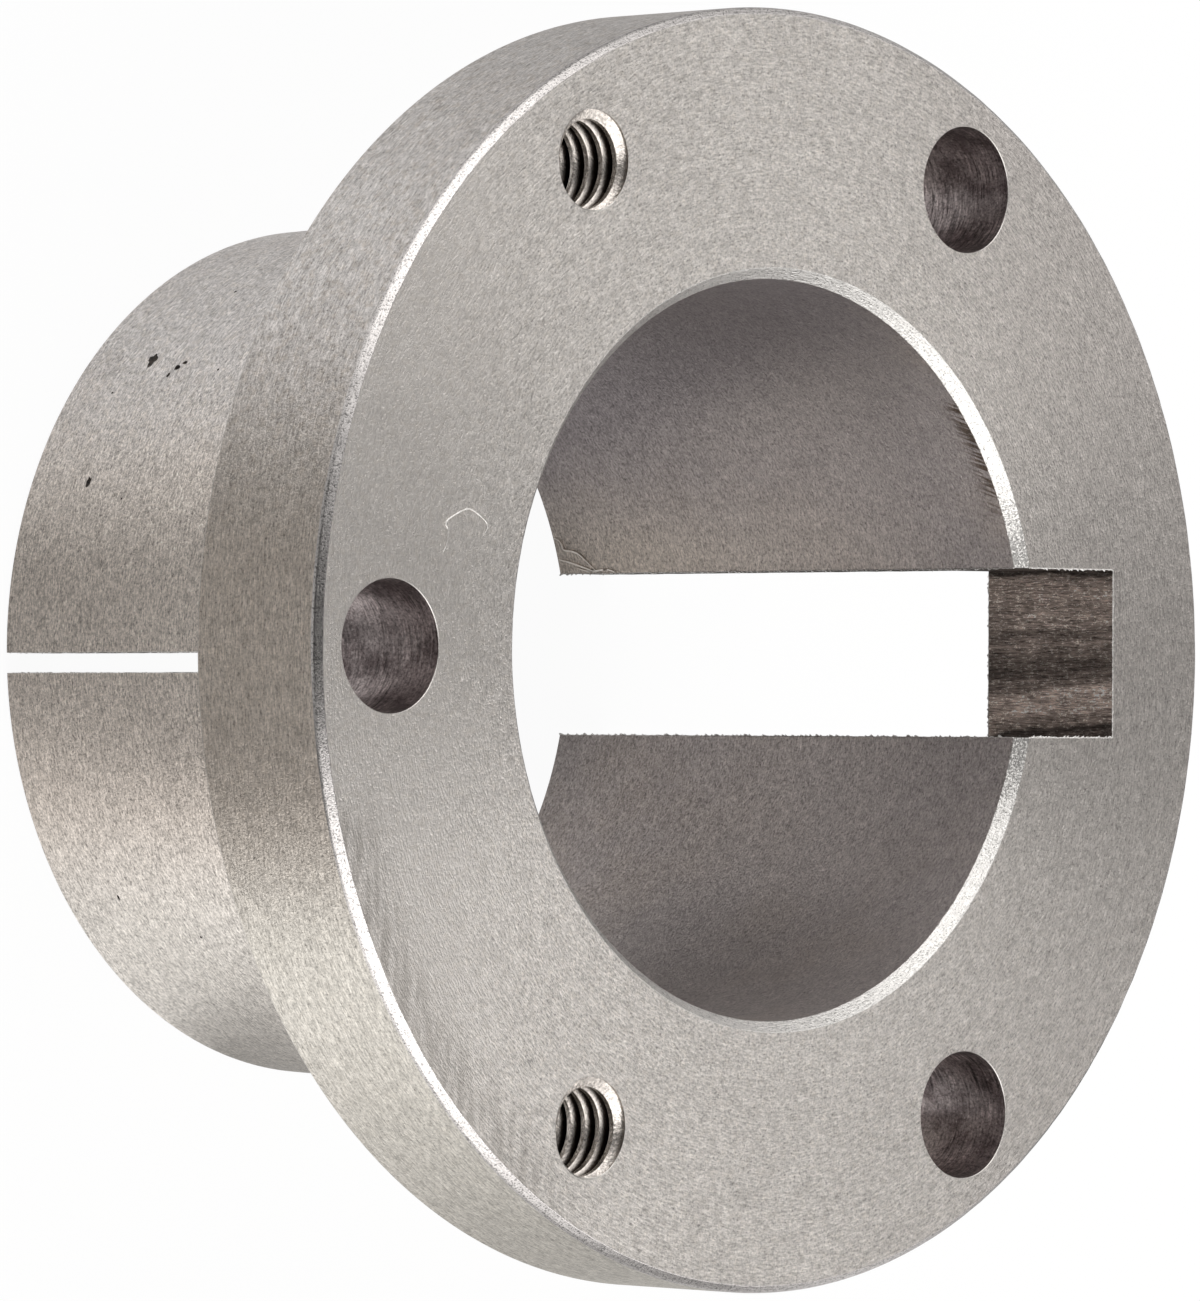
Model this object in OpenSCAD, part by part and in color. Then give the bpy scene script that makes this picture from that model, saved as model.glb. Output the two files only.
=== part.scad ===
// Split taper bushing. A flanged steel sleeve with a tapered barrel, which closes on a keyed
// shaft as its bolts draw it into a hub of the same taper. It is one machined piece.
// It stands on the barrel's small end. The origin is on the bore's axis at that end, +Z points
// out of the flange's front face, the keyway is on the +X side and the saw slit on the -X side.

/* [Barrel] */
// Length over all, from the small end to the front face of the flange
overall_length = 48.8; // [40:0.1:60]
// Outside diameter of the barrel at its small end
small_end_d = 64.4; // [62:0.1:68]
// Taper of the barrel: gain of diameter for each millimetre of length
barrel_taper = 0.0625; // [0.03:0.0025:0.08]
// Edge break round the outside of the small end
small_end_break = 0.4; // [0.2:0.1:1]
// Radius of the fillet between the barrel and the flange
root_fillet = 0.8; // [0.3:0.1:1.2]

/* [Flange] */
// Margin of metal from the bolt circle out to the rim
rim_margin = 7; // [6:0.1:12]
// Thickness of the flange
flange_thickness = 12.6; // [9:0.1:16]
// Chamfer on both edges of the rim
rim_chamfer = 0.5; // [0.2:0.05:1.2]

/* [Bore] */
// Diameter of the bore, which is the size of the shaft
bore_d = 53.975; // [48:0.005:56]
// Chamfer where the bore meets the front face
bore_chamfer = 0.8; // [0.3:0.05:1.5]
// Edge break where the bore meets the small end
bore_break = 0.2; // [0.1:0.1:1]

/* [Keyway] */
// Width of the keyway
keyway_width = 12.7; // [10:0.1:16]
// Depth of the keyway, from the wall of the bore to its floor
keyway_depth = 9.6; // [7:0.05:11]

/* [Slit] */
// Width of the saw slit through the wall of the barrel
slit_width = 1.5; // [1:0.1:3]
// Distance of the slit's middle from the keyway's middle plane
slit_offset = 1.05; // [0:0.05:3]

/* [Bolt holes] */
// Distance from the barrel's large end out to the bolt circle, which all the holes share
bolt_standoff = 6.37; // [6:0.01:9]
// Places on that circle, counted from the keyway: clearance and tapped holes take turns
bolt_places = 6; // [4:2:8]
// Diameter of the clearance holes
clear_hole_d = 9.4; // [7:0.1:10]
// Edge break at both ends of a clearance hole
clear_hole_break = 0.05; // [0.05:0.05:0.5]
// Tap drill diameter of the jacking holes
tap_drill_d = 6.5; // [5:0.1:8]
// Countersink at both ends of a tapped hole
tap_countersink = 0.15; // [0.05:0.05:1]

/* [Hidden] */
$fn = 180;

// How far a cutter stands past the face that it opens
overcut = 0.5;
// Straight steps in the arc of the root fillet
fillet_steps = 8;

steel = [0.60, 0.58, 0.55];

bore_r = bore_d / 2;
flange_back = overall_length - flange_thickness;
half_taper = atan(barrel_taper / 2);

// Radius of the barrel at a height above the small end
function barrel_r(z) = (small_end_d + barrel_taper * z) / 2;

// The bolt circle stands clear of the barrel, and the flange reaches past the bolt circle
bolt_circle_r = barrel_r(flange_back) + bolt_standoff;
flange_r = bolt_circle_r + rim_margin;
place_angle = 360 / bolt_places;

// The fillet rolls in the corner between the barrel and the back of the flange
fillet_z = flange_back - root_fillet;
fillet_r = barrel_r(fillet_z) + root_fillet / cos(half_taper);
fillet_arc = [
    for (step = [0:fillet_steps])
    let (turn = 180 - half_taper - step * (90 - half_taper) / fillet_steps)
    [fillet_r + root_fillet * cos(turn), fillet_z + root_fillet * sin(turn)]
];

// Outside of the bushing as it leaves the lathe: barrel, fillet and flange
module turned_blank()
    rotate_extrude()
        polygon(concat(
            [
                [0, 0],
                [barrel_r(0) - small_end_break, 0],
                [barrel_r(small_end_break), small_end_break]
            ],
            fillet_arc,
            [
                [flange_r - rim_chamfer, flange_back],
                [flange_r, flange_back + rim_chamfer],
                [flange_r, overall_length - rim_chamfer],
                [flange_r - rim_chamfer, overall_length],
                [0, overall_length]
            ]
        ));

// A round hole between two faces, with a 45 degree break where it opens in each
module round_cut(r, low, high, low_break, high_break)
    rotate_extrude()
        polygon([
            [0, low - overcut],
            [r + low_break + overcut, low - overcut],
            [r, low + low_break],
            [r, high - high_break],
            [r + high_break + overcut, high + overcut],
            [0, high + overcut]
        ]);

module bore_cut()
    round_cut(bore_r, 0, overall_length, bore_break, bore_chamfer);

// A hole through the flange, on the bolt circle
module flange_hole(place, d, edge)
    rotate([0, 0, place * place_angle])
        translate([bolt_circle_r, 0, 0])
            round_cut(d / 2, flange_back, overall_length, edge, edge);

module clearance_holes()
    for (place = [1:2:bolt_places - 1])
        flange_hole(place, clear_hole_d, clear_hole_break);

module tapped_holes()
    for (place = [2:2:bolt_places - 2])
        flange_hole(place, tap_drill_d, tap_countersink);

// The keyway is deeper than the wall of the barrel, so it leaves the barrel open on that side
// and a square notch in the flange
module keyway_cut()
    translate([0, -keyway_width / 2, -overcut])
        cube([bore_r + keyway_depth, keyway_width, overall_length + 2 * overcut]);

// The slit stops at the back of the flange, which holds the two halves of the barrel together
module slit_cut()
    translate([-flange_r, -slit_offset - slit_width / 2, -overcut])
        cube([flange_r, slit_width, flange_back + overcut]);

module bushing()
    color(steel)
        difference() {
            turned_blank();
            bore_cut();
            keyway_cut();
            slit_cut();
            clearance_holes();
            tapped_holes();
        }

bushing();
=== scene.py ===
"""Looks for the split taper bushing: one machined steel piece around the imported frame.

The mesh is built in millimetres, in the frame of the part's source, and scaled to metres at
the end. The turned blank and its cutters each carry their own material, so that every face of
the finished piece has the finish of the tool that cut it.
"""

import math
import random

import bpy
from mathutils import Matrix, Vector, noise


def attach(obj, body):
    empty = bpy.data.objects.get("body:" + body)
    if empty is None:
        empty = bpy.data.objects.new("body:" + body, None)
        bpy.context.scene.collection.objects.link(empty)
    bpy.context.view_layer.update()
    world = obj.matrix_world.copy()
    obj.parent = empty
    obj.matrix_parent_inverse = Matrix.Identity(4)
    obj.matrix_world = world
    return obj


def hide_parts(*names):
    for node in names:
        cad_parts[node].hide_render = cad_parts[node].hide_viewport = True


MM = 0.001

# Sizes of the part's source, in millimetres
OVERALL_LENGTH = 48.8
SMALL_END_D = 64.4
BARREL_TAPER = 0.0625
SMALL_END_BREAK = 0.4
ROOT_FILLET = 0.8
RIM_MARGIN = 7.0
FLANGE_THICKNESS = 12.6
RIM_CHAMFER = 0.5
BORE_R = 53.975 / 2
BORE_CHAMFER = 0.8
BORE_BREAK = 0.2
KEYWAY_WIDTH = 12.7
KEYWAY_FLOOR = BORE_R + 9.6
SLIT_WIDTH = 1.5
SLIT_OFFSET = 1.05
BOLT_STANDOFF = 6.37
CLEAR_HOLE_R = 4.7
CLEAR_HOLE_BREAK = 0.05
TAP_DRILL_R = 3.25
TAP_COUNTERSINK = 0.15
CLEAR_HOLE_ANGLES = (60, 180, 300)
TAPPED_HOLE_ANGLES = (120, 240)

# Thread of the jacking holes, which the source leaves to this script
THREAD_MAJOR_R = 3.93
THREAD_PITCH = 25.4 / 18
# Heading from the middle of each tapped hole in which its groove runs out of the front face
THREAD_MOUTH = 75

FLANGE_BACK = OVERALL_LENGTH - FLANGE_THICKNESS
HALF_TAPER = math.atan(BARREL_TAPER / 2)


def barrel_r(z):
    return (SMALL_END_D + BARREL_TAPER * z) / 2


BOLT_CIRCLE_R = barrel_r(FLANGE_BACK) + BOLT_STANDOFF
FLANGE_R = BOLT_CIRCLE_R + RIM_MARGIN

# Finishes, in the order of the mesh's material slots
FINISHES = (
    "face", "rim", "barrel", "bore", "rim_edge", "bore_edge", "edge", "back",
    "keyway", "drilled", "thread", "slit", "pit",
)
SLOT = {name: index for index, name in enumerate(FINISHES)}

# Segments round the turned blank
TURNS = 480
# Angle between two faces above which the edge between them stays sharp
SHARP = math.radians(32)
# How far a cutter stands past the face that it opens
OVERCUT = 1.0


# Meshes

def linked(name, data):
    """A new object in the scene."""
    piece = bpy.data.objects.new(name, data)
    bpy.context.scene.collection.objects.link(piece)
    return piece


class Sheet:
    """Points and faces of a mesh under construction, with a finish for each face."""

    def __init__(self):
        self.points = []
        self.faces = []
        self.slots = []

    def point(self, x, y, z):
        self.points.append((x, y, z))
        return len(self.points) - 1

    def face(self, corners, finish):
        self.faces.append(tuple(corners))
        self.slots.append(SLOT[finish])

    def add(self, other, place=Matrix.Identity(4)):
        """Takes in another sheet, moved to its place."""
        start = len(self.points)
        self.points += [tuple(place @ Vector(p)) for p in other.points]
        self.faces += [tuple(start + i for i in face) for face in other.faces]
        self.slots += other.slots

    def build(self, name, materials):
        mesh = bpy.data.meshes.new(name)
        mesh.from_pydata(self.points, [], self.faces)
        for material in materials:
            mesh.materials.append(material)
        mesh.polygons.foreach_set("material_index", self.slots)
        mesh.update()
        return linked(name, mesh)


def eased(corners):
    """Rounds the corners of a closed outline. Each is (r, z, radius, finish of the side after it).
    A rounding takes the finish of the chamfer that it belongs to."""
    outline = []
    count = len(corners)
    steps = 3
    for i, (r, z, radius, finish) in enumerate(corners):
        if not radius:
            outline.append((r, z, finish))
            continue
        here = Vector((r, z))
        before = (Vector(corners[i - 1][:2]) - here).normalized()
        after = (Vector(corners[(i + 1) % count][:2]) - here).normalized()
        half = before.angle(after) / 2
        centre = here + (before + after).normalized() * radius / math.sin(half)
        start = here + before * radius / math.tan(half) - centre
        end = here + after * radius / math.tan(half) - centre
        for step in range(steps + 1):
            share = step / steps
            spoke = start.lerp(end, share).normalized() * radius
            chamfer = next(f for f in (finish, corners[i - 1][3], "edge") if f.endswith("edge"))
            point = centre + spoke
            outline.append((point.x, point.y, chamfer if step < steps else finish))
    return outline


def divided(outline, longest):
    """Cuts the long sides of a closed outline into shorter ones."""
    result = []
    for i, (r, z, finish) in enumerate(outline):
        r2, z2, _ = outline[(i + 1) % len(outline)]
        parts = max(1, math.ceil(math.hypot(r2 - r, z2 - z) / longest))
        for part in range(parts):
            share = part / parts
            result.append((r + (r2 - r) * share, z + (z2 - z) * share, finish))
    return result


def section(rim_chamfer, bore_chamfer):
    """Half section of the turned blank, from the bore's small end round by barrel and flange."""
    # Radii of the roundings: of most corners, of the small end's, and of the rim's front one
    ease = 0.1
    fine_ease = 0.06
    rim_ease = 0.5
    longest_side = 5.0
    fillet_steps = 8
    fillet_z = FLANGE_BACK - ROOT_FILLET
    fillet_r = barrel_r(fillet_z) + ROOT_FILLET / math.cos(HALF_TAPER)
    corners = [
        (BORE_R + BORE_BREAK, 0, fine_ease, "back"),
        (barrel_r(0) - SMALL_END_BREAK, 0, fine_ease, "edge"),
        (barrel_r(SMALL_END_BREAK), SMALL_END_BREAK, fine_ease, "barrel"),
    ]
    for step in range(fillet_steps + 1):
        turn = math.pi - HALF_TAPER - step * (math.pi / 2 - HALF_TAPER) / fillet_steps
        r = fillet_r + ROOT_FILLET * math.cos(turn)
        z = fillet_z + ROOT_FILLET * math.sin(turn)
        corners.append((r, z, 0, "barrel" if step < fillet_steps else "back"))
    corners += [
        (FLANGE_R - RIM_CHAMFER, FLANGE_BACK, ease, "edge"),
        (FLANGE_R, FLANGE_BACK + RIM_CHAMFER, ease, "rim"),
        (FLANGE_R, OVERALL_LENGTH - rim_chamfer, rim_ease, "rim_edge"),
        (FLANGE_R - rim_chamfer, OVERALL_LENGTH, ease, "face"),
        (BORE_R + bore_chamfer, OVERALL_LENGTH, ease, "bore_edge"),
        (BORE_R, OVERALL_LENGTH - bore_chamfer, ease, "bore"),
        (BORE_R, BORE_BREAK, fine_ease, "edge"),
    ]
    return divided(eased(corners), longest_side)


def waver(angle, scale, seed):
    """Smooth noise round the axis, from -1 to 1, that meets itself after one turn."""
    return noise.noise(Vector((math.cos(angle) * scale, math.sin(angle) * scale, seed)))


def turned_blank():
    """The blank as it leaves the lathe. Its front chamfers vary a little in width."""
    sheet = Sheet()
    rings = []
    for turn in range(TURNS):
        angle = 2 * math.pi * turn / TURNS
        rim = RIM_CHAMFER + 0.05 * waver(angle, 3, 1.5) + 0.035 * waver(angle, 40, 2.5)
        bore = BORE_CHAMFER + 0.05 * waver(angle, 2, 7.5) + 0.02 * waver(angle, 40, 3.5)
        outline = section(rim, bore)
        rings.append([
            sheet.point(r * math.cos(angle), r * math.sin(angle), z) for r, z, _ in outline
        ])
    finishes = [finish for _, _, finish in section(RIM_CHAMFER, BORE_CHAMFER)]
    for turn, ring in enumerate(rings):
        following = rings[(turn + 1) % TURNS]
        for i, finish in enumerate(finishes):
            j = (i + 1) % len(ring)
            sheet.face((ring[i], following[i], following[j], ring[j]), finish)
    return sheet


def box_cutter(low, high, finish, cells, wobble, seed):
    """A box cut into cells. Its points wander along Y by up to wobble, as a saw does."""
    sheet = Sheet()
    index = {}

    def corner(step):
        if step not in index:
            place = [low[k] + (high[k] - low[k]) * step[k] / cells[k] for k in range(3)]
            drift = noise.noise(Vector((place[0] * 0.3 + seed, place[1] * 0.3, place[2] * 2.1)))
            place[1] += wobble * drift
            index[step] = sheet.point(*place)
        return index[step]

    for axis in range(3):
        a, b = (axis + 1) % 3, (axis + 2) % 3
        for side in (0, cells[axis]):
            for i in range(cells[a]):
                for j in range(cells[b]):
                    loop = []
                    for di, dj in ((0, 0), (1, 0), (1, 1), (0, 1)):
                        step = [0, 0, 0]
                        step[axis], step[a], step[b] = side, i + di, j + dj
                        loop.append(corner(tuple(step)))
                    sheet.face(loop if side else loop[::-1], finish)
    return sheet


def lathed_cutter(outline, segments):
    """A closed solid of revolution about Z. The outline is (r, z, finish), from the bottom up."""
    sheet = Sheet()
    turns = [2 * math.pi * k / segments for k in range(segments)]
    rings = []
    for r, z, _ in outline:
        rings.append([sheet.point(r * math.cos(turn), r * math.sin(turn), z) for turn in turns])
    for i in range(len(rings) - 1):
        for k in range(segments):
            n = (k + 1) % segments
            sheet.face((rings[i][k], rings[i][n], rings[i + 1][n], rings[i + 1][k]), outline[i][2])
    sheet.face(rings[0][::-1], outline[0][2])
    sheet.face(rings[-1], outline[-1][2])
    return sheet


def drill_cutter():
    """A clearance hole through the flange, with its edges broken."""
    low = FLANGE_BACK
    high = OVERALL_LENGTH
    r = CLEAR_HOLE_R
    wide = CLEAR_HOLE_BREAK
    outline = [(r + wide + OVERCUT, low - OVERCUT, "edge"), (r + wide, low, "edge")]
    rows = 12
    for row in range(rows + 1):
        z = low + wide + (high - low - 2 * wide) * row / rows
        outline.append((r, z, "drilled" if row < rows else "edge"))
    outline += [(r + wide, high, "edge"), (r + wide + OVERCUT, high + OVERCUT, "edge")]
    return lathed_cutter(outline, 96)


def tap_cutter(hole_angle):
    """The screw that a tap cuts: its rows follow the helix, and its ends close past both faces."""
    sheet = Sheet()
    segments = 64
    depth = THREAD_MAJOR_R - TAP_DRILL_R
    flank = depth * math.tan(math.radians(30))
    # Height of the flat in the bottom of the groove
    land = THREAD_PITCH / 6.4
    root = 0.5 * (THREAD_PITCH - land) - flank
    # Axial place in one pitch, and radius, of each row
    profile = [
        (0.0, TAP_DRILL_R),
        (root, TAP_DRILL_R),
        (root + flank, THREAD_MAJOR_R),
        (root + flank + land, THREAD_MAJOR_R),
        (root + 2 * flank + land, TAP_DRILL_R),
    ]
    per_turn = len(profile)
    # Share of a turn at which the groove runs out of the front face
    mouth = (THREAD_MOUTH - hole_angle) / 360
    # The screw starts a few turns past the back of the flange
    low = FLANGE_BACK - 3.6
    groove_height = OVERALL_LENGTH - low - root - flank - land / 2
    start = low + THREAD_PITCH * ((groove_height / THREAD_PITCH - mouth) % 1)
    turns = math.ceil((OVERALL_LENGTH - low) / THREAD_PITCH) + 2
    rows = turns * per_turn
    grid = {}
    for i in range(segments):
        angle = 2 * math.pi * i / segments
        for j in range(rows + 1):
            turn, k = divmod(j, per_turn)
            rise, r = profile[k]
            z = start + THREAD_PITCH * (turn + i / segments) + rise
            spot = Vector((math.cos(angle) * 3, math.sin(angle) * 3, z * 2.5 + hole_angle))
            rough = 0.02 * noise.noise(spot)
            grid[i, j] = sheet.point((r + rough) * math.cos(angle), (r + rough) * math.sin(angle), z)

    def at(i, j):
        """The point at a place round the screw and a row; past the seam it is one turn up."""
        return grid[i, j] if i < segments else grid[0, j + per_turn]

    # The faces stop one turn short of the grid, which the seam needs
    last = rows - per_turn
    for i in range(segments):
        for j in range(last):
            sheet.face((at(i, j), at(i + 1, j), at(i + 1, j + 1), at(i, j + 1)), "thread")
    bottom_loop = [grid[i, 0] for i in range(segments)]
    bottom_loop += [grid[0, j] for j in range(per_turn, 0, -1)]
    top_loop = [grid[i, last] for i in range(segments)]
    top_loop += [grid[0, last + j] for j in range(per_turn, 0, -1)]
    bottom = sheet.point(0, 0, start - 0.5)
    top = sheet.point(0, 0, start + THREAD_PITCH * (turns + 0.5))
    for loop, tip, flip in ((bottom_loop, bottom, True), (top_loop, top, False)):
        for a, b in zip(loop, loop[1:] + loop[:1]):
            sheet.face((b, a, tip) if flip else (a, b, tip), "thread")
    return sheet


def countersink_cutter(face_z, outward):
    """The cone that breaks the edge of a tapped hole at one face."""
    r = TAP_DRILL_R + TAP_COUNTERSINK
    deep = 1.2
    rows = [
        (r - deep, face_z - outward * deep, "edge"),
        (r, face_z, "edge"),
        (r + OVERCUT, face_z + outward * OVERCUT, "edge"),
    ]
    return lathed_cutter(rows if outward > 0 else rows[::-1], 64)


def pit_cutter(angle, z, wide, tall, seed):
    """An irregular lump that leaves a pit in the barrel's wall."""
    sheet = Sheet()
    rings = 7
    segments = 12
    deep = 0.22
    stand = 0.02
    grid = []
    for ring in range(1, rings):
        tilt = math.pi * ring / rings
        row = []
        for k in range(segments):
            turn = 2 * math.pi * k / segments
            wide_way = math.sin(tilt) * math.cos(turn)
            tall_way = math.sin(tilt) * math.sin(turn)
            way = Vector((math.cos(tilt), wide_way, tall_way))
            size = 1 + 0.75 * noise.noise(way * 1.7 + Vector((seed, 0, 0)))
            row.append(sheet.point(way.x * deep * size, way.y * wide * size, way.z * tall * size))
        grid.append(row)
    tip = sheet.point(deep, 0, 0)
    tail = sheet.point(-deep, 0, 0)
    for k in range(segments):
        n = (k + 1) % segments
        sheet.face((tip, grid[0][k], grid[0][n]), "pit")
        sheet.face((grid[-1][k], tail, grid[-1][n]), "pit")
        for a, b in zip(grid, grid[1:]):
            sheet.face((a[k], b[k], b[n], a[n]), "pit")
    placed = Sheet()
    turned = Matrix.Rotation(math.radians(angle), 4, "Z")
    placed.add(sheet, turned @ Matrix.Translation((barrel_r(z) + stand, 0, z)))
    return placed


# Pits in the barrel: angle round the axis, height, half width and half height
PITS = (
    (138.8, 7.7, 0.60, 0.50),
    (140.4, 11.1, 0.24, 0.30),
    (139.6, 11.7, 0.20, 0.22),
    (141.7, 10.6, 0.22, 0.18),
    (144.1, 5.3, 0.10, 0.12),
    (157.7, 6.9, 0.46, 0.24),
    (141.3, 16.0, 0.13, 0.10),
    (160.3, 11.2, 0.10, 0.10),
    (214.5, 6.7, 0.22, 0.10),
    (220.5, 13.6, 0.13, 0.12),
    (125.2, 10.6, 0.14, 0.12),
    (96.0, 21.4, 0.26, 0.15),
    (52.0, 9.1, 0.20, 0.17),
    (321.0, 17.5, 0.28, 0.20),
    (262.0, 8.4, 0.15, 0.24),
)


def bolt_place(angle):
    """Where the hole at an angle stands on the bolt circle."""
    return Matrix.Rotation(math.radians(angle), 4, "Z") @ Matrix.Translation((BOLT_CIRCLE_R, 0, 0))


def cutters():
    """What is cut from the blank, and then the countersinks, which follow the threads."""
    first = Sheet()
    # The keyway and the slit start from within the bore; the slit ends outside the barrel, a hair
    # under the flange
    in_bore = 5
    past_barrel = 34.6
    hair = 0.002
    half = KEYWAY_WIDTH / 2
    first.add(box_cutter(
        (in_bore, -half, -OVERCUT), (KEYWAY_FLOOR, half, OVERALL_LENGTH + OVERCUT),
        "keyway", (6, 8, 40), 0.03, 4.0,
    ))
    side = SLIT_WIDTH / 2
    first.add(box_cutter(
        (-past_barrel, -SLIT_OFFSET - side, -OVERCUT),
        (-in_bore, -SLIT_OFFSET + side, FLANGE_BACK - hair),
        "slit", (6, 1, 110), 0.09, 9.0,
    ))
    drill = drill_cutter()
    for angle in CLEAR_HOLE_ANGLES:
        first.add(drill, bolt_place(angle))
    second = Sheet()
    for angle in TAPPED_HOLE_ANGLES:
        first.add(tap_cutter(angle), bolt_place(angle))
        second.add(countersink_cutter(OVERALL_LENGTH, 1), bolt_place(angle))
        second.add(countersink_cutter(FLANGE_BACK, -1), bolt_place(angle))
    for number, pit in enumerate(PITS):
        first.add(pit_cutter(*pit, seed=number * 3.7))
    return first, second


def finished_mesh(piece):
    """Replaces the piece's mesh by what its modifiers make of it."""
    depsgraph = bpy.context.evaluated_depsgraph_get()
    mesh = bpy.data.meshes.new_from_object(piece.evaluated_get(depsgraph))
    piece.modifiers.clear()
    piece.data = mesh


def cut(piece, sheet, materials):
    cutter = sheet.build("cutter", materials)
    step = piece.modifiers.new("cut", "BOOLEAN")
    step.operation = "DIFFERENCE"
    step.solver = "MANIFOLD"
    step.object = cutter
    finished_mesh(piece)
    bpy.data.objects.remove(cutter)


def to_metres(piece):
    piece.data.transform(Matrix.Scale(MM, 4))
    piece.data.update()


def bushing(materials):
    """The whole bushing: the blank less its cutters, shaded smooth between its sharp edges."""
    piece = turned_blank().build("bushing_steel", materials)
    first, second = cutters()
    cut(piece, first, materials)
    cut(piece, second, materials)
    piece.data.shade_smooth()
    piece.data.set_sharp_from_angle(angle=SHARP)
    weigh = piece.modifiers.new("weigh", "WEIGHTED_NORMAL")
    weigh.keep_sharp = True
    finished_mesh(piece)
    to_metres(piece)
    return piece


def strung(name, material, sheet, rings):
    """The closed piece between rings of points that lie one after another."""
    sides = len(rings[0])
    for a, b in zip(rings, rings[1:]):
        for k in range(sides):
            n = (k + 1) % sides
            sheet.face((a[k], a[n], b[n], b[k]), "face")
    sheet.face(rings[0][::-1], "face")
    sheet.face(rings[-1], "face")
    piece = sheet.build(name, [material])
    piece.data.shade_smooth()
    to_metres(piece)
    return piece


def burr(name, material, points, outward, height, spread, seed):
    """A ragged lip of metal along an edge. Its crest leans out by an uneven height."""
    draw = random.Random(seed)
    sheet = Sheet()
    rows = []
    count = len(points)
    out = Vector(outward).normalized()
    for i, point in enumerate(points):
        here = Vector(point)
        along = (Vector(points[min(i + 1, count - 1)]) - Vector(points[max(i - 1, 0)])).normalized()
        across = along.cross(out).normalized()
        crest = height * (0.12 + draw.random() ** 3)
        lean = spread * draw.uniform(-0.7, 0.7)
        base = spread * draw.uniform(0.55, 1.0)
        rows.append([
            sheet.point(*(here - across * base - out * spread * 0.5)),
            sheet.point(*(here + across * base - out * spread * 0.5)),
            sheet.point(*(here + across * lean + out * crest)),
        ])
    return strung(name, material, sheet, rows)


def line(start, end, step):
    """Points from start to end, about one step apart."""
    start = Vector(start)
    end = Vector(end)
    count = max(2, round((end - start).length / step))
    return [start.lerp(end, i / count) for i in range(count + 1)]


def burrs(material):
    """The bright ragged lips that the broach and the saw leave along their edges."""
    half = KEYWAY_WIDTH / 2
    top = OVERALL_LENGTH
    wall_x = math.sqrt(BORE_R ** 2 - half ** 2)
    front_x = math.sqrt((BORE_R + BORE_CHAMFER) ** 2 - half ** 2)
    pieces = []
    for side, word in ((1, "left"), (-1, "right")):
        y = side * half
        edge = line((front_x, y, top), (KEYWAY_FLOOR, y, top), 0.12)
        out = (0, -0.6 * side, 0.5)
        pieces.append(burr(f"burr_notch_{word}", material, edge, out, 0.2, 0.07, 11 + side))
        edge = line((wall_x, y, BORE_BREAK), (wall_x, y, top - BORE_CHAMFER), 0.16)
        out = (-0.6, -0.8 * side, 0)
        pieces.append(burr(f"burr_wall_{word}", material, edge, out, 0.2, 0.05, 21 + side))
    edge = line((KEYWAY_FLOOR, -half, top), (KEYWAY_FLOOR, half, top), 0.12)
    pieces.append(burr("burr_notch_floor", material, edge, (-0.6, 0, 0.4), 0.17, 0.07, 31))
    edge = line((KEYWAY_FLOOR, -half, FLANGE_BACK), (KEYWAY_FLOOR, half, FLANGE_BACK), 0.14)
    pieces.append(burr("burr_notch_back", material, edge, (-0.6, 0, -0.6), 0.12, 0.05, 32))
    # From just over the small end to just under the flange, 0.2 mm apart
    heights = [0.5 + 0.2 * k for k in range(176)]
    for side, word in ((1, "left"), (-1, "right")):
        y = -SLIT_OFFSET + side * SLIT_WIDTH / 2
        edge = [(-math.sqrt(barrel_r(z) ** 2 - y * y), y, z) for z in heights]
        out = (-0.5, -0.8 * side, 0)
        pieces.append(burr(f"burr_slit_{word}", material, edge, out, 0.09, 0.04, 41 + side))
    return pieces


def thread_of_metal(name, material, points, radius):
    """A hair of metal along a few points, smoothed between them and thinner at its ends."""
    sheet = Sheet()
    path = []
    steps = 5
    for i in range(len(points) - 1):
        before = Vector(points[max(i - 1, 0)])
        a, b = Vector(points[i]), Vector(points[i + 1])
        after = Vector(points[min(i + 2, len(points) - 1)])
        for step in range(steps):
            t = step / steps
            bend = (2 * before - 5 * a + 4 * b - after) * t * t
            twist = (3 * (a - b) + after - before) * t ** 3
            path.append(a + 0.5 * ((b - before) * t + bend + twist))
    path.append(Vector(points[-1]))
    sides = 6
    rings = []
    for i, here in enumerate(path):
        along = (path[min(i + 1, len(path) - 1)] - path[max(i - 1, 0)]).normalized()
        side = along.cross(Vector((0, 0, 1))).normalized()
        lift = along.cross(side)
        thick = radius * (0.35 + 0.65 * math.sin(math.pi * i / (len(path) - 1)))
        ring = []
        for k in range(sides):
            turn = 2 * math.pi * k / sides
            spoke = math.cos(turn) * side + math.sin(turn) * lift
            ring.append(sheet.point(*(here + thick * spoke)))
        rings.append(ring)
    return strung(name, material, sheet, rings)


# Curls of swarf on the bore's wall, at the small end of the keyway: angle and height of their bends
CURLS = (
    ((19.9, 0.4), (19.2, 1.0), (17.8, 1.2), (17.5, 2.0), (16.9, 2.8), (15.2, 3.7), (14.0, 4.3)),
    ((16.1, 0.4), (15.6, 1.5), (14.8, 2.8), (13.9, 4.2)),
    ((14.6, 2.2), (14.0, 3.6), (14.3, 5.4), (13.8, 6.4)),
)


# A fine hair of metal on the face, beside the clearance hole at 180 degrees: x and y of its bends
FACE_HAIR = (
    (-34.7, 6.5), (-34.3, 7.2), (-34.2, 8.2), (-34.4, 8.5), (-34.1, 8.9), (-32.8, 9.5),
    (-31.9, 9.6), (-30.6, 8.9), (-30.3, 8.4), (-30.6, 7.9),
)


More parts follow.
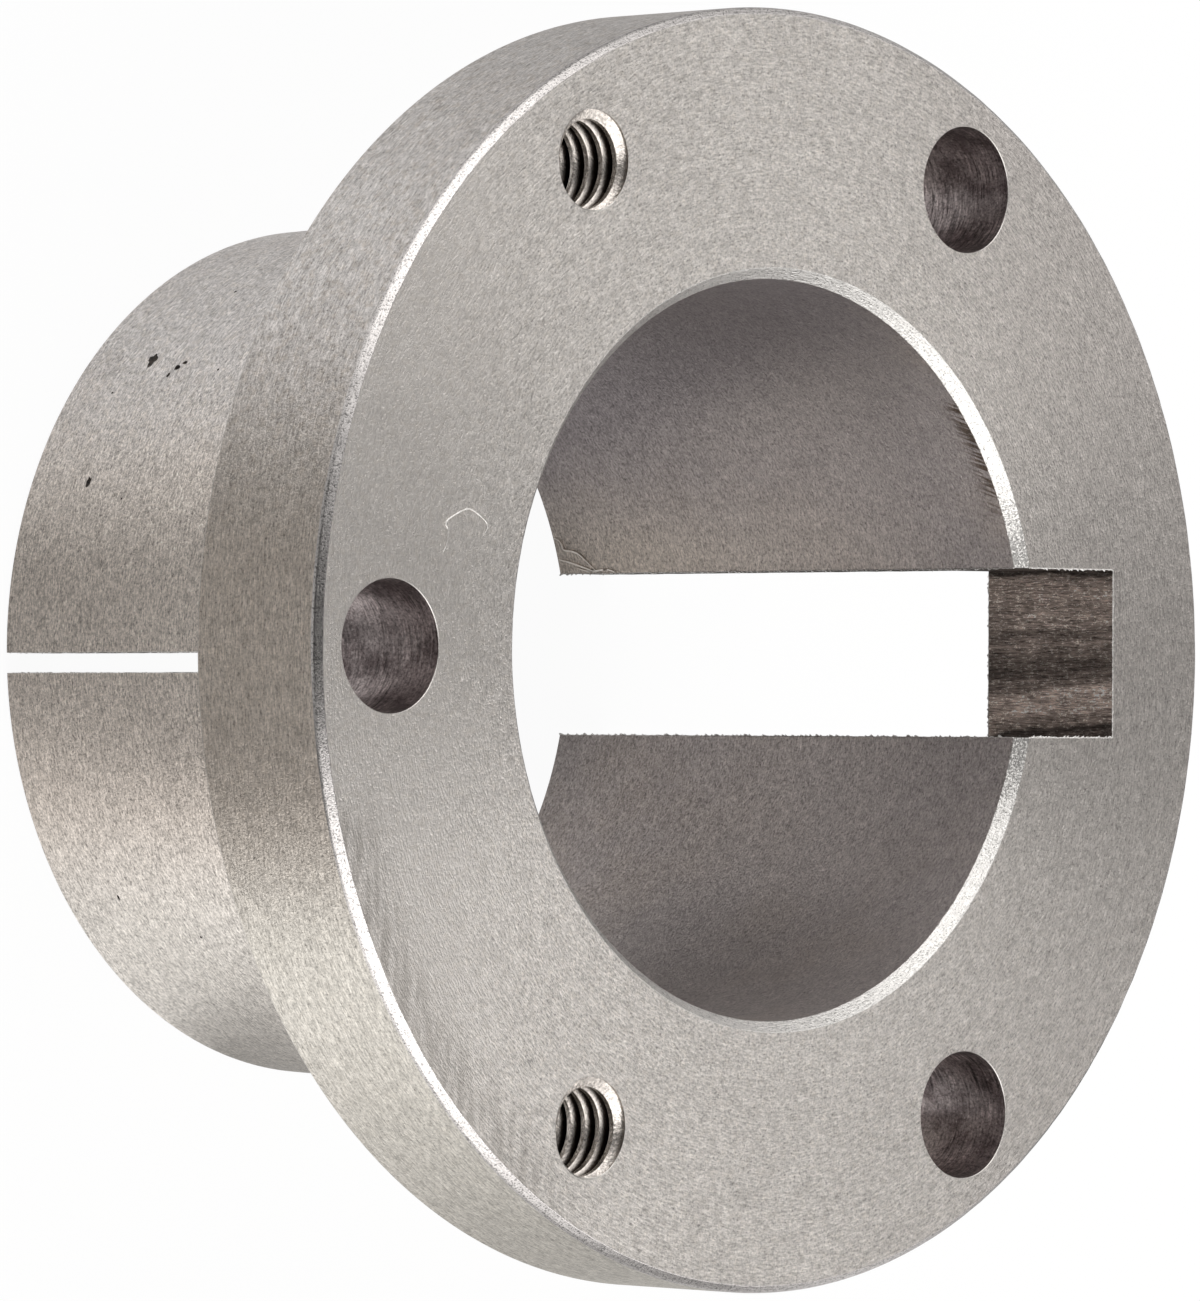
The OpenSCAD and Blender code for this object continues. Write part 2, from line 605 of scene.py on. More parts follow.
def curls(torn, swarf):
    """The hair on the face and the curls in the bore."""
    lift = 0.02
    hair_radius = 0.06
    curl_radius = 0.09
    r = BORE_R - 0.1
    on_face = [(x, y, OVERALL_LENGTH + lift) for x, y in FACE_HAIR]
    pieces = [thread_of_metal("face_hair", torn, on_face, hair_radius)]
    for number, bends in enumerate(CURLS):
        points = []
        for angle, z in bends:
            way = math.radians(angle)
            points.append((r * math.cos(way), r * math.sin(way), z))
        pieces.append(thread_of_metal(f"curl_{number + 1}", swarf, points, curl_radius))
    return pieces


# Materials

class Shader:
    """A node tree, with short calls for the nodes used here."""

    def __init__(self, tree):
        self.tree = tree
        tree.nodes.clear()

    def node(self, kind, inputs=(), **settings):
        """A new node. An input is a node's output or a constant; colours have three numbers."""
        made = self.tree.nodes.new(kind)
        for key, value in settings.items():
            setattr(made, key, value)
        for key, value in dict(inputs).items():
            socket = made.inputs[key]
            if isinstance(value, bpy.types.NodeSocket):
                self.tree.links.new(value, socket)
            else:
                socket.default_value = (*value, 1.0) if socket.type == "RGBA" else value
        return made

    def math(self, operation, a, b=0.0):
        return self.node("ShaderNodeMath", {0: a, 1: b}, operation=operation).outputs[0]

    def times(self, first, *others):
        for other in others:
            first = self.math("MULTIPLY", first, other)
        return first

    def plus(self, first, *others):
        for other in others:
            first = self.math("ADD", first, other)
        return first

    def minus(self, a, b):
        return self.math("SUBTRACT", a, b)

    def blend(self, share, a, b):
        """A number that goes from a to b as the share goes from 0 to 1."""
        return self.plus(a, self.times(share, self.minus(b, a)))

    def vector(self, operation, *inputs):
        made = self.node("ShaderNodeVectorMath", dict(enumerate(inputs)), operation=operation)
        return made.outputs["Value" if operation == "LENGTH" else "Vector"]

    def scaled(self, vector, scale):
        inputs = {0: vector, "Scale": scale}
        return self.node("ShaderNodeVectorMath", inputs, operation="SCALE").outputs[0]

    def remap(self, value, low, high, new_low=0.0, new_high=1.0, kind="LINEAR"):
        """A value carried from one range into another, and held at that one's ends."""
        inputs = {
            "Value": value, "From Min": low, "From Max": high, "To Min": new_low, "To Max": new_high,
        }
        return self.node("ShaderNodeMapRange", inputs, interpolation_type=kind).outputs["Result"]

    def ease(self, *values):
        """As remap, with a smooth start and end."""
        return self.remap(*values, kind="SMOOTHSTEP")

    def mix(self, share, a, b):
        return self.node("ShaderNodeMix", {0: share, 6: a, 7: b}, data_type="RGBA").outputs[2]

    def noise(self, vector, scale, detail=2.0, rough=0.5, w=None):
        inputs = {"Vector": vector, "Scale": scale, "Detail": detail, "Roughness": rough}
        if w is not None:
            inputs["W"] = w
        kind = "3D" if w is None else "4D"
        return self.node("ShaderNodeTexNoise", inputs, noise_dimensions=kind).outputs[0]

    def place(self):
        """The point in millimetres, in the frame of the part."""
        return self.scaled(self.node("ShaderNodeTexCoord").outputs["Object"], 1 / MM)

    def split(self, vector):
        return tuple(self.node("ShaderNodeSeparateXYZ", {0: vector}).outputs)

    def join(self, x, y, z):
        return self.node("ShaderNodeCombineXYZ", {0: x, 1: y, 2: z}).outputs[0]

    def reach(self, x, y):
        """How far a point is from an upright axis."""
        return self.vector("LENGTH", self.join(x, y, 0.0))

    def streaked(self, place, across, along):
        """Coordinates with one number of steps to the millimetre across Z and another along it."""
        x, y, z = self.split(place)
        return self.join(self.times(x, across), self.times(y, across), self.times(z, along))

    def relief(self, height, depth):
        """Bump from a height between 0 and 1, over a depth in millimetres."""
        inputs = {"Strength": 1.0, "Distance": depth * MM, "Height": height}
        return self.node("ShaderNodeBump", inputs).outputs[0]


def material_tree(name):
    material = bpy.data.materials.new(name)
    material.use_nodes = True
    return material, Shader(material.node_tree)


def level_ramp(shader, share, stops, highest, interpolation):
    """A level from 0 to the highest, read off a few stops of (place, level)."""
    ramp = shader.node("ShaderNodeValToRGB", {0: share})
    ramp.color_ramp.interpolation = interpolation
    elements = ramp.color_ramp.elements
    for number, (where, level) in enumerate(stops):
        element = elements[number] if number < 2 else elements.new(where)
        element.position = where
        element.color = [level / highest] * 3 + [1.0]
    return shader.times(ramp.outputs[0], highest)


def finish_steel(shader, base, roughness, bump=None, anisotropy=0.0, lobe=None):
    """The metal itself. The lobe is how its highlights spread from grain that runs round the axis:
    a quarter turn spreads them across the grain, and 0 along it."""
    inputs = {"Base Color": base, "Metallic": 1.0, "Roughness": roughness, "Anisotropic": anisotropy}
    if lobe is not None:
        tangent = shader.node("ShaderNodeTangent", direction_type="RADIAL", axis="Z")
        inputs["Anisotropic Rotation"] = lobe
        inputs["Tangent"] = tangent.outputs[0]
    if bump is not None:
        inputs["Normal"] = bump
    metal = shader.node("ShaderNodeBsdfPrincipled", inputs)
    shader.node("ShaderNodeOutputMaterial", {"Surface": metal.outputs[0]})


def wound_noise(shader, place, around, across, rough=0.6):
    """Noise stretched round the axis with no seam, as a turning tool leaves it. Its coordinates are
    a heading stretched by around, and the radius and height in steps of across to the millimetre."""
    x, y, z = shader.split(place)
    heading = shader.scaled(shader.vector("NORMALIZE", shader.join(x, y, 0.0)), around)
    lift = shader.join(0.0, 0.0, shader.times(shader.reach(x, y), across))
    wound = shader.vector("ADD", heading, lift)
    return shader.noise(wound, 1.0, 2.0, rough, shader.times(z, across))


def turned_steel(name, base, stain, blotch, grain=0.34, stain_share=0.5, blotch_share=0.3,
                 touches=(), fade=None):
    """Steel as turned and lightly blasted: short dashes of grain round the axis between finer specks,
    faint tool lines, soft blotches, dark dots, and broad patches of stain. The touches are pairs of a
    function that says where a colour lies, and that colour: some are the metal's own tone, and some
    painted light or shade. The fade is a function that says how much of the grain shows."""
    material, shader = material_tree(name)
    place = shader.place()
    dashes = wound_noise(shader, place, 70.0, 6.6, 0.7)
    lines = wound_noise(shader, place, 14.0, 3.0)
    specks = shader.noise(place, 5.2, 2.0, 0.75)
    blotches = shader.noise(place, 1.6, 4.0, 0.7)
    mottle = shader.noise(place, 0.9, 3.0, 0.6)
    patches = shader.noise(place, 0.075, 3.0, 0.55)

    dashed = 0.58
    grains = shader.plus(shader.times(dashes, dashed), shader.times(specks, 1 - dashed))
    tone = shader.times(
        shader.remap(grains, 0.35, 0.65, 1.0 - grain, 1.0 + grain),
        shader.remap(lines, 0.3, 0.7, 0.96, 1.04),
        shader.remap(mottle, 0.3, 0.7, 0.9, 1.1),
        shader.ease(specks, 0.27, 0.36, 0.6, 1.0),
    )
    if fade:
        tone = shader.blend(fade(shader, place), 1.0, tone)
    base = shader.mix(shader.ease(patches, 0.42, 0.68, 0.0, stain_share), base, stain)
    base = shader.mix(shader.ease(blotches, 0.48, 0.62, 0.0, blotch_share), base, blotch)
    for where, touch_colour in touches:
        base = shader.mix(where(shader, place), base, touch_colour)

    rough = shader.remap(grains, 0.35, 0.65, 0.52, 0.4)
    bump = shader.relief(shader.plus(grains, shader.times(lines, 0.25)), 0.12)
    finish_steel(shader, shader.scaled(base, tone), rough, bump, anisotropy=0.7, lobe=0.25)
    return material


def painted_warm_shade(shader, place):
    """Painted warm tint of the shade: the slit's side of the barrel and the rim is browner than the
    +Y side.
    """
    y = shader.split(place)[1]
    return shader.times(shader.ease(y, 4.0, 24.0, 0.75, 0.0), shader.ease(y, -26.0, -11.0, 0.35, 1.0))


def beige_side(shader, place):
    """The -Y side of the barrel and the rim is a yellower grey."""
    return shader.ease(shader.split(place)[1], -22.0, -9.0, 0.75, 0.0)


def painted_light_by_slit(shader, place):
    """Painted light: the barrel is paler beside the slit, most of all towards the flange."""
    _, y, z = shader.split(place)
    off = shader.math("ABSOLUTE", shader.minus(y, 4.0))
    return shader.times(shader.ease(z, 8.0, 28.0, 0.3, 0.6), shader.ease(off, 6.0, 13.0, 1.0, 0.0))


def painted_shade_keyway_side(shader, place):
    """Painted shade: the face is darker towards the keyway's side."""
    x, y, _ = shader.split(place)
    return shader.times(shader.ease(x, 0.0, 36.0), shader.ease(y, -22.0, 2.0, 0.5, 1.0))


def grain_fade(shader, place):
    """The face's grain is fainter on the slit's side."""
    return shader.ease(shader.split(place)[0], -37.0, -24.0, 0.45, 1.0)


def plum_and_painted_shade(shader, place):
    """A darker plum tone on the +Y side of the bore's wall, wider towards the small end: a plum tint
    with painted shade.
    """
    _, y, z = shader.split(place)
    leaning = shader.minus(y, shader.times(z, 0.22))
    return shader.ease(leaning, 11.0, 17.0, 0.0, 0.8)


def painted_light_mid_bore(shader, place):
    """Painted light: the bore's wall is paler halfway along, but for its -Y side."""
    _, y, z = shader.split(place)
    return shader.times(
        shader.ease(y, -22.0, -16.0, 0.0, 0.6),
        shader.ease(z, 10.0, 28.0),
        shader.ease(z, 32.0, 44.0, 1.0, 0.0),
    )


def slanted_scratches(shader, place):
    """Fine light scratches on the bore's wall, which slant to the -Y side from the small end up."""
    _, y, z = shader.split(place)
    slope = 1.23
    across = shader.plus(y, shader.times(z, slope))
    along = shader.minus(z, shader.times(y, slope))
    strokes = shader.join(shader.times(across, 5.0), shader.times(along, 0.35), 0.0)
    return shader.ease(shader.noise(strokes, 1.0, 2.0, 0.65), 0.58, 0.7, 0.0, 0.5)


def tan_and_painted_light(shader, place):
    """A paler brown on the bore's wall along the keyway's +Y edge, fading towards the flange: a tan
    tint with painted light from the small end.
    """
    x, y, z = shader.split(place)
    return shader.times(
        shader.ease(y, 6.0, 15.0, 0.85, 0.0),
        shader.remap(y, 0.0, 1.0),
        shader.remap(x, 0.0, 1.0),
        shader.remap(z, 8.0, 44.0, 1.0, 0.0),
    )


def rim_smudge(shader, place):
    """Chatter of the facing cut: dark streaks on the face, just inside the rim at -X and -Y."""
    x, y, _ = shader.split(place)
    streaks = shader.join(shader.times(x, 1.3), shader.times(y, 0.22), 0.0)
    return shader.times(
        shader.ease(shader.noise(streaks, 1.0), 0.38, 0.6, 0.15, 0.85),
        shader.ease(shader.reach(x, y), FLANGE_R - 5.5, FLANGE_R - 1.5),
        shader.ease(y, -8.0, -14.0),
        shader.ease(x, -18.0, -28.0),
    )


def mouth_hatch(shader, place):
    """Dark brown strokes on the bore's wall, side by side under the front chamfer."""
    x, y, z = shader.split(place)
    slanted = shader.plus(y, shader.times(z, 0.35))
    strokes = shader.join(0.0, shader.times(slanted, 3.4), shader.times(z, 0.3))
    low = OVERALL_LENGTH - 3.0
    return shader.times(
        shader.ease(shader.noise(strokes, 1.0), 0.44, 0.56, 0.0, 0.9),
        shader.ease(z, low, low + 1.8),
        shader.ease(y, 8.5, 12.5),
        shader.ease(y, 18.0, 19.0, 1.0, 0.0),
        shader.remap(x, 0.0, 1.0),
    )


def chamfer_steel(name, base, roughness, anisotropy, depth, fleck, spread=0.0, worn=0.0):
    """A bright narrow chamfer, with fine lines round the axis and dark flecks in them. A spread makes
    more flecks everywhere, and wear makes more beside the keyway and the slit."""
    material, shader = material_tree(name)
    place = shader.place()
    lines = wound_noise(shader, place, 60.0, 10.0)
    specks = shader.noise(place, 6.5, 2.0, 0.7)
    away = shader.math("ABSOLUTE", shader.split(place)[1])
    more = shader.ease(away, 7.0, 14.0, worn + spread, spread)
    tone = shader.times(
        shader.remap(lines, 0.3, 0.7, 0.76, 1.16),
        shader.remap(shader.minus(specks, more), 0.3, 0.42, 1.0 - fleck, 1.0),
    )
    bump = shader.relief(shader.plus(lines, specks), depth)
    finish_steel(shader, shader.scaled(base, tone), roughness, bump, anisotropy, lobe=0.0)
    return material


# Tone of the keyway's floor across its width, from the -Y wall to the +Y wall; 0.5 leaves it as it is
# The dark stops at each end are painted shadow along the walls; the rest are bands in the metal
FLOOR_BANDS_AND_WALL_SHADOWS = (
    (0.0, 0.2), (0.035, 0.13), (0.065, 0.5), (0.15, 0.78), (0.26, 0.8), (0.3, 0.36), (0.4, 0.2),
    (0.5, 0.3), (0.56, 0.5), (0.62, 0.26), (0.68, 0.55), (0.9, 0.6), (0.955, 0.5), (0.975, 0.12),
    (1.0, 0.12),
)


def keyway_steel():
    """Broached steel, dark brown: bands and streaks run with the stroke, under specks and chatter,
    with painted shadow along both walls.
    """
    material, shader = material_tree("keyway_steel")
    place = shader.place()
    _, y, z = shader.split(place)
    fine = shader.noise(shader.streaked(place, 8.5, 0.9), 1.0, 3.0, 0.75)
    streaks = shader.noise(shader.streaked(place, 2.6, 0.16), 1.0, 4.0, 0.7)
    drift = shader.noise(shader.streaked(place, 0.8, 0.25), 1.0)
    specks = shader.noise(shader.streaked(place, 6.0, 3.0), 1.0, 2.0, 0.75)
    chatter = shader.noise(shader.streaked(place, 0.5, 0.55), 1.0, 2.0, 0.6)

    where = shader.remap(y, -KEYWAY_WIDTH / 2, KEYWAY_WIDTH / 2)
    # The painted shadow along the -Y wall widens towards the front face
    rise = shader.remap(z, FLANGE_BACK, OVERALL_LENGTH, -0.04, 0.06)
    where = shader.minus(where, shader.times(rise, shader.minus(1.0, where)))
    where = shader.plus(where, shader.remap(drift, 0.3, 0.7, -0.02, 0.02))
    tone = shader.times(
        level_ramp(shader, where, FLOOR_BANDS_AND_WALL_SHADOWS, 1.0, "EASE"),
        2.0,
        shader.remap(fine, 0.3, 0.7, 0.15, 1.85),
        shader.remap(streaks, 0.3, 0.7, 0.62, 1.38),
        shader.remap(chatter, 0.35, 0.65, 0.85, 1.15),
        # It is darker at the back of the flange
        shader.ease(z, FLANGE_BACK, FLANGE_BACK + 5.0, 0.72, 1.0),
    )
    light = shader.ease(specks, 0.55, 0.63, 0.0, 0.75)
    base = shader.mix(light, (0.395, 0.325, 0.288), (0.95, 0.865, 0.785))
    rough = shader.remap(streaks, 0.3, 0.7, 0.6, 0.42)
    bump = shader.relief(shader.plus(fine, streaks, specks), 0.03)
    finish_steel(shader, shader.scaled(base, tone), rough, bump)
    return material


def drilled_steel(name, base, dark, roughness):
    """Steel cut by a drill or a saw: rings along the hole, which wander a little, under patches of
    dark scale and a few bright flecks."""
    material, shader = material_tree(name)
    place = shader.place()
    lines = shader.noise(shader.streaked(place, 0.45, 4.5), 1.0, 3.0, 0.65)
    patches = shader.noise(shader.streaked(place, 0.35, 0.3), 1.0, 4.0, 0.65)
    zones = shader.noise(shader.streaked(place, 0.3, 0.35), 1.0)
    specks = shader.noise(place, 4.5, 2.0, 0.75)
    cut = shader.ease(zones, 0.35, 0.65, 0.2, 1.0)
    ridges = shader.times(cut, shader.remap(lines, 0.3, 0.7, -0.75, 0.9))
    tone = shader.times(shader.plus(1.0, ridges), shader.remap(specks, 0.3, 0.7, 0.45, 1.55))
    toned = shader.scaled(shader.mix(shader.ease(patches, 0.3, 0.66), dark, base), tone)
    toned = shader.mix(shader.ease(specks, 0.69, 0.73), toned, (0.8, 0.78, 0.75))
    finish_steel(shader, toned, roughness, shader.relief(lines, 0.03))
    return material


def thread_steel():
    """The tapped thread: bright on its crests, with black in its grooves that is painted shade and
    cutting fluid.
    """
    material, shader = material_tree("thread_steel")
    place = shader.place()
    x, y, z = shader.split(place)
    specks = shader.noise(place, 4.0, 3.0, 0.7)
    turn = math.radians(TAPPED_HOLE_ANGLES[0])
    # Both holes lie at the same x, and as far to one side as to the other
    aside = shader.minus(x, BOLT_CIRCLE_R * math.cos(turn))
    off = shader.minus(shader.math("ABSOLUTE", y), BOLT_CIRCLE_R * math.sin(turn))
    reach = shader.plus(shader.reach(aside, off), shader.remap(specks, 0.3, 0.7, -0.08, 0.08))
    groove_shade_and_oil = shader.times(
        shader.ease(reach, TAP_DRILL_R + 0.03, THREAD_MAJOR_R - 0.3),
        # The first turn under the front face is left clean of the painted shade and the cutting fluid
        shader.ease(z, OVERALL_LENGTH - 1.5, OVERALL_LENGTH - 0.7, 1.0, 0.0),
    )
    base = shader.mix(groove_shade_and_oil, (0.68, 0.635, 0.59), (0.03, 0.022, 0.017))
    toned = shader.scaled(base, shader.remap(specks, 0.3, 0.7, 0.5, 1.4))
    finish_steel(shader, toned, 0.27, shader.relief(specks, 0.03))
    return material


def speckled(shader, scale, dark, light):
    """Two colours, mixed by fine specks."""
    specks = shader.noise(shader.place(), scale, 2.0, 0.6)
    return shader.mix(shader.remap(specks, 0.35, 0.65), dark, light)


def pit_steel():
    """The black scale in the pits."""
    material, shader = material_tree("pit_scale")
    base = speckled(shader, 6.0, (0.015, 0.014, 0.013), (0.07, 0.055, 0.045))
    scale = shader.node("ShaderNodeBsdfPrincipled", {"Base Color": base, "Roughness": 0.8})
    shader.node("ShaderNodeOutputMaterial", {"Surface": scale.outputs[0]})
    return material


def burr_steel():
    """Thin torn metal, which catches the light."""
    material, shader = material_tree("burr_steel")
    finish_steel(shader, speckled(shader, 5.0, (0.62, 0.6, 0.57), (0.95, 0.94, 0.92)), 0.5)
    return material


def swarf_steel():
    """The curls of swarf, pale in the dark bore."""
    material, shader = material_tree("swarf_steel")
    finish_steel(shader, speckled(shader, 3.0, (0.92, 0.84, 0.76), (1.0, 0.96, 0.9)), 0.3)
    return material


def make_materials():
    """One material for each finish, in the order of FINISHES."""
    tan = (0.56, 0.49, 0.40)
    brown = (0.40, 0.345, 0.30)
    plum = (0.40, 0.36, 0.36)
    made = {
        "face": turned_steel(
            "face_steel", (0.625, 0.596, 0.568), (0.58, 0.552, 0.525), tan, grain=0.42,
            blotch_share=0.12, fade=grain_fade,
            # The first touch is painted shade on the keyway's side
            touches=((painted_shade_keyway_side, (0.475, 0.447, 0.425)), (rim_smudge, (0.41, 0.385, 0.36))),
        ),
        "rim": turned_steel(
            "rim_steel", (0.555, 0.535, 0.522), (0.49, 0.46, 0.44), (0.42, 0.375, 0.33), grain=0.45,
            stain_share=0.4, blotch_share=0.5,
            # The first touch is a painted warm tint of the shade on the slit's side
            touches=((painted_warm_shade, (0.59, 0.52, 0.45)), (beige_side, (0.565, 0.545, 0.495))),
        ),
        "barrel": turned_steel(
            "barrel_steel", (0.605, 0.582, 0.57), (0.53, 0.50, 0.485), tan, grain=0.55,
            blotch_share=0.2,
            touches=(
                # The first touch is a painted warm tint of the shade on the slit's side
                (painted_warm_shade, (0.625, 0.555, 0.49)), (beige_side, (0.605, 0.58, 0.54)),
                # This touch is painted light beside the slit
                (painted_light_by_slit, (0.80, 0.735, 0.675)),
            ),
        ),
        "bore": turned_steel(
            # The bore's base colour, darker than the outer steel's, is painted shade of the hollow
            "bore_steel", (0.395, 0.36, 0.35), brown, plum, grain=0.45, stain_share=0.4,
            touches=(
                # The second touch is painted light halfway along the bore
                (slanted_scratches, (0.56, 0.515, 0.49)), (painted_light_mid_bore, (0.51, 0.465, 0.445)),
                # These touches are a plum tint with painted shade, and a tan tint with painted light
                (plum_and_painted_shade, (0.30, 0.272, 0.28)), (tan_and_painted_light, (0.64, 0.575, 0.51)),
                (mouth_hatch, (0.10, 0.07, 0.05)),
            ),
        ),
        "rim_edge": chamfer_steel(
            "rim_edge_steel", (0.66, 0.635, 0.62),
            roughness=0.25, anisotropy=0.0, depth=0.015, fleck=0.6, spread=0.06,
        ),
        "bore_edge": chamfer_steel(
            "bore_edge_steel", (0.80, 0.785, 0.76),
            roughness=0.36, anisotropy=0.6, depth=0.05, fleck=0.6, spread=0.03, worn=0.17,
        ),
        "edge": chamfer_steel(
            "edge_steel", (0.62, 0.60, 0.57), roughness=0.4, anisotropy=0.4, depth=0.02, fleck=0.3,
        ),
        "back": turned_steel("back_steel", (0.57, 0.545, 0.52), (0.46, 0.43, 0.41), tan),
        "keyway": keyway_steel(),
        "drilled": drilled_steel("drilled_steel", (0.47, 0.415, 0.41), (0.17, 0.137, 0.137), 0.38),
        "thread": thread_steel(),
        "slit": drilled_steel("slit_steel", (0.42, 0.38, 0.35), (0.25, 0.22, 0.2), 0.5),
        "pit": pit_steel(),
    }
    return [made[name] for name in FINISHES]


# Studio

WHITE = (1.0, 1.0, 1.0)
# Colour of the light that the metal reflects
ROOM_TINT = (1.0, 0.985, 0.975)

# Brightness of the studio by the sideways part of a direction, from -1 on the -Y side to 1 on the +Y
# side: level with the floor beyond the bushing, overhead, and level with the floor in front of it.
# Soft lights stand to both sides, and the middle is dark.
GLOW_BEYOND = (
    (-0.75, 0.1), (-0.4, 0.9), (-0.2, 0.35), (0.1, 0.35), (0.4, 1.5), (0.6, 0.85), (0.8, 0.7),
)
GLOW_OVERHEAD = (
    (-0.8, 1.6), (-0.55, 2.8), (-0.38, 2.6), (-0.22, 0.6), (0.0, 0.0), (0.25, 0.5), (0.4, 1.3),
    (0.75, 1.9),
)
GLOW_IN_FRONT = ((-0.75, 2.4), (-0.4, 1.6), (-0.25, 0.0), (0.55, 0.0), (0.75, 1.8))
# The same for the floor, away from the bushing and close to it, and what the far side keeps of it
GLOW_FLOOR = (
    (-0.9, 0.8), (-0.6, 1.5), (-0.3, 0.1), (0.0, 0.6), (0.3, 0.35), (0.6, 1.0), (0.9, 0.72),
)
GLOW_FOOT = (
    (-0.86, 0.3), (-0.77, 1.0), (-0.5, 0.97), (-0.3, 0.72), (-0.1, 0.43), (0.2, 0.43),
    (0.45, 0.72), (0.9, 0.57),
)
FLOOR_BEYOND = 0.6
BRIGHTEST = 3.0


def side_glow(shader, y, stops):
    """Brightness by the sideways part of a direction, from one of the lists above."""
    shares = [((where + 1) / 2, level) for where, level in stops]
    return level_ramp(shader, shader.remap(y, -1.0, 1.0), shares, BRIGHTEST, "LINEAR")


def mixed(shader, share, first, second):
    """A mix of two shaders: all of the first at 0, and all of the second at 1."""
    return shader.node("ShaderNodeMixShader", {0: share, 1: first.outputs[0], 2: second.outputs[0]})


def studio_world():
    """A soft room: white to the camera, and a smooth glow for the metal to reflect."""
    world = bpy.data.worlds.new("studio")
    world.use_nodes = True
    bpy.context.scene.world = world
    shader = Shader(world.node_tree)
    x, y, z = shader.split(shader.node("ShaderNodeTexCoord").outputs["Generated"])
    # Goes over the bushing from 0 beyond it to 2 in front of it
    over = shader.times(shader.math("ARCTAN2", z, x), 2 / math.pi)
    glows = []
    for number, stops in enumerate((GLOW_BEYOND, GLOW_OVERHEAD, GLOW_IN_FRONT)):
        away = shader.math("ABSOLUTE", shader.minus(over, float(number)))
        share = shader.remap(away, 0.0, 1.0, 1.0, 0.0)
        glows.append(shader.times(share, side_glow(shader, y, stops)))
    glow = shader.plus(*glows)
    room = shader.node("ShaderNodeBackground", {"Color": ROOM_TINT, "Strength": glow})
    white = shader.node("ShaderNodeBackground", {"Color": WHITE, "Strength": 1.0})
    to_camera = shader.node("ShaderNodeLightPath").outputs["Is Camera Ray"]
    shown = mixed(shader, to_camera, room, white)
    shader.node("ShaderNodeOutputWorld", {"Surface": shown.outputs[0]})


def floor_glow(shader):
    """What the metal sees of the floor. Lengths are in metres, from the bushing's axis."""
    x, y, _ = shader.split(shader.node("ShaderNodeNewGeometry").outputs["Position"])
    reach = shader.reach(x, y)
    # The floor is read as if it lay half as far down as the point is off the axis
    way = shader.vector("NORMALIZE", shader.join(x, y, shader.times(reach, 0.5)))
    sideways = shader.split(way)[1]
    beyond = shader.ease(x, -0.03, 0.03, 1.0, FLOOR_BEYOND)
    open_floor = shader.times(side_glow(shader, sideways, GLOW_FLOOR), beyond)
    # What the bore shows through its open end is brightest in the middle
    off = shader.reach(shader.minus(x, 0.008), y)
    well = shader.ease(off, 0.004, 0.02, 1.65, 0.66)
    inside = shader.remap(reach, 0.026, 0.028, 1.0, 0.0)
    foot = shader.times(side_glow(shader, sideways, GLOW_FOOT), shader.blend(inside, 1.0, well))
    return shader.blend(shader.ease(reach, 0.038, 0.064), foot, open_floor)


def floor_material():
    """Pale paper: it keeps a soft shadow, and shows nearly white to the camera."""
    material, shader = material_tree("floor_paper")
    paths = shader.node("ShaderNodeLightPath").outputs
    white = shader.node("ShaderNodeEmission", {"Color": WHITE, "Strength": 1.0})
    room = shader.node("ShaderNodeEmission", {"Color": ROOM_TINT, "Strength": floor_glow(shader)})
    paper = shader.node("ShaderNodeBsdfDiffuse", {"Color": (0.9, 0.9, 0.9)})
    shown = mixed(shader, shader.times(paths["Is Camera Ray"], 0.95), paper, white)
    shown = mixed(shader, paths["Is Glossy Ray"], shown, room)
    shader.node("ShaderNodeOutputMaterial", {"Surface": shown.outputs[0]})
    return material


def floor():
    """A wide flat sheet, a hair under the bushing's small end."""
    sheet = Sheet()
    half = 3000
    hair = 0.02
    corners = ((-half, -half), (half, -half), (half, half), (-half, half))
    sheet.face([sheet.point(x, y, 0) for x, y in corners], "face")
    piece = sheet.build("floor", [floor_material()])
    to_metres(piece)
    piece.location.z = -hair * MM
    return piece


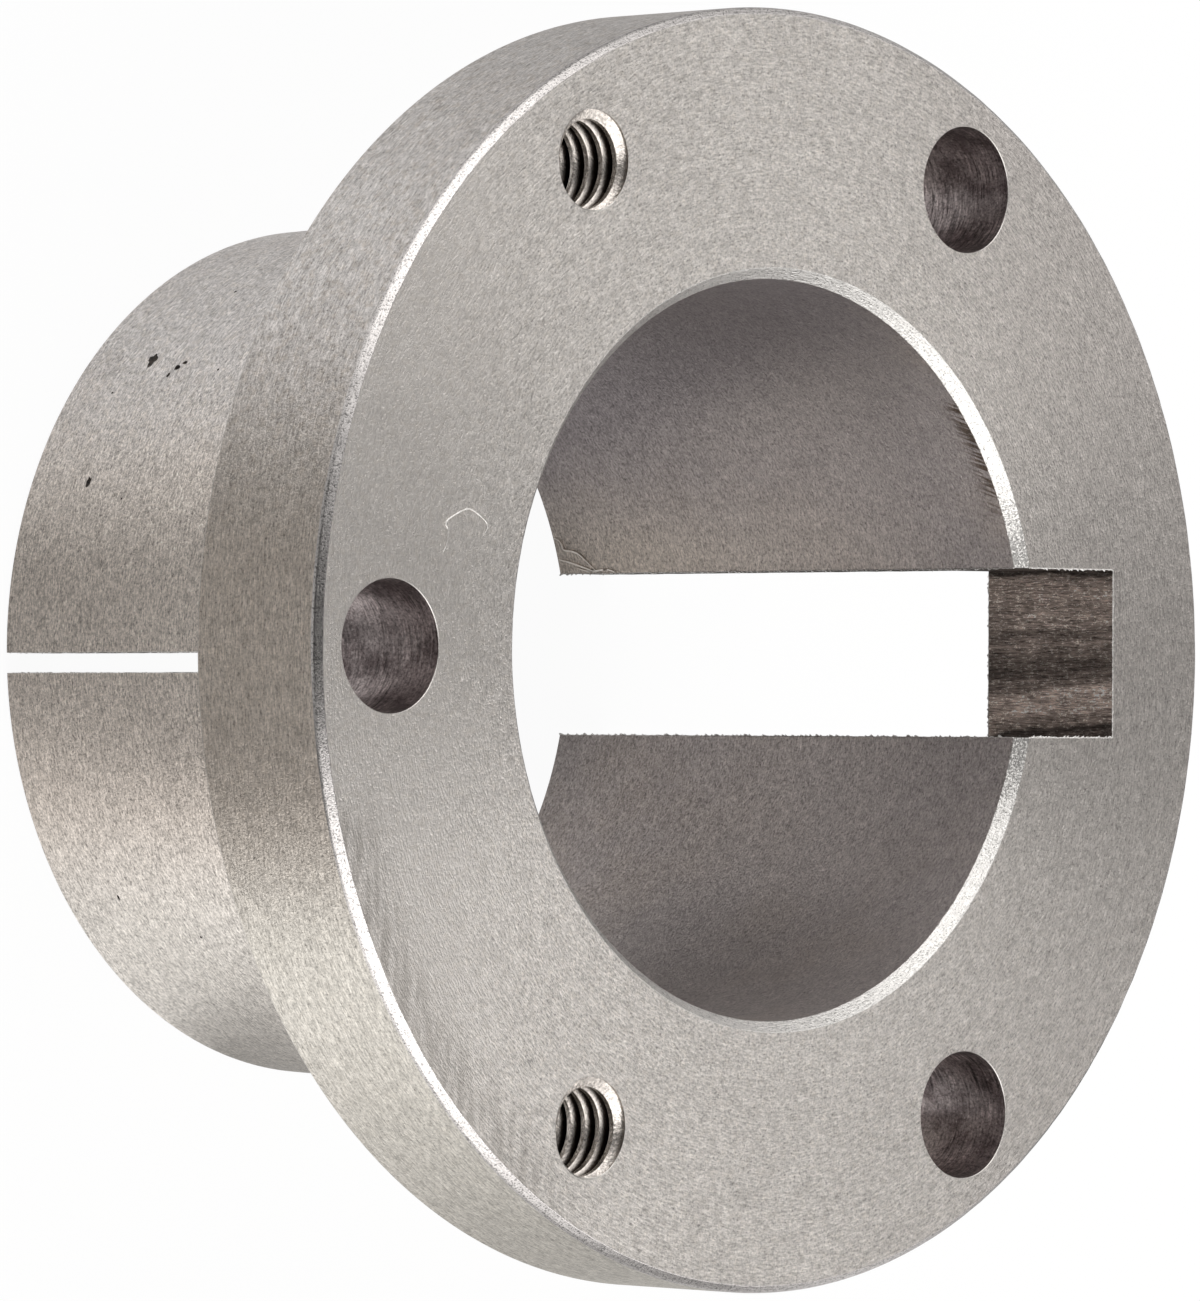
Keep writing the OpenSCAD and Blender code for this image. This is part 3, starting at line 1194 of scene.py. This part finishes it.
def lamp(name, place, aim, size, power, tint):
    """A soft round lamp that points at a place in the part. Lengths are in metres."""
    data = bpy.data.lights.new(name, "AREA")
    data.shape = "DISK"
    data.size = size
    data.energy = power
    data.color = tint
    piece = linked(name, data)
    piece.location = place
    piece.rotation_euler = (Vector(aim) - Vector(place)).to_track_quat("-Z", "Y").to_euler()


def camera():
    """The camera of the photograph: its turn about Y, its tilt and its roll were fitted to it."""
    turn = math.radians(45.624)
    tilt = math.radians(0.156)
    roll = math.radians(-0.433)
    face_centre = Vector((0, 0, OVERALL_LENGTH))
    # The front face's centre as the camera sees it, in millimetres: right, up and towards it
    seen = Vector((13.25, 0.029, -619.69))
    axis = Vector((math.sin(turn) * math.cos(tilt), math.sin(tilt), math.cos(turn) * math.cos(tilt)))
    level = Vector((math.cos(turn), 0, -math.sin(turn)))
    other = axis.cross(level)
    x_axis = math.cos(roll) * level + math.sin(roll) * other
    y_axis = -math.sin(roll) * level + math.cos(roll) * other
    to_part = Matrix((x_axis, y_axis, axis))
    data = bpy.data.cameras.new("camera")
    data.sensor_width = 36.0
    data.lens = 235.93
    data.clip_start = 0.01
    data.clip_end = 20.0
    piece = linked("camera", data)
    piece.matrix_world = Matrix.Translation((face_centre + to_part @ -seen) * MM) @ to_part.to_4x4()
    bpy.context.scene.camera = piece


# Scene


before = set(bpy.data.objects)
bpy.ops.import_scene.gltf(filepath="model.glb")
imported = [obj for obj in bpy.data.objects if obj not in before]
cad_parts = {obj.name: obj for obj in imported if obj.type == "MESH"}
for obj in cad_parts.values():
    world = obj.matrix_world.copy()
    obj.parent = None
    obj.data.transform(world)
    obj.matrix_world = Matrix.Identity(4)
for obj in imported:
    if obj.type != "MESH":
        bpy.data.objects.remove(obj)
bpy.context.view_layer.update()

bpy.context.scene.view_settings.view_transform = "Standard"
camera()
studio_world()
floor()
middle = (0, 0, 0.03)
warm_white = (1.0, 0.99, 0.97)
lamp("key_left", (-0.35, -0.9, 0.75), middle, size=0.5, power=0.6, tint=warm_white)
lamp("key_right", (-0.2, 0.9, 0.8), middle, size=0.5, power=0.4, tint=warm_white)

materials = make_materials()
body = bushing(materials)
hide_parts("bushing")
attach(body, "root")
torn = burr_steel()
for lip in burrs(torn) + curls(torn, swarf_steel()):
    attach(lip, "root")
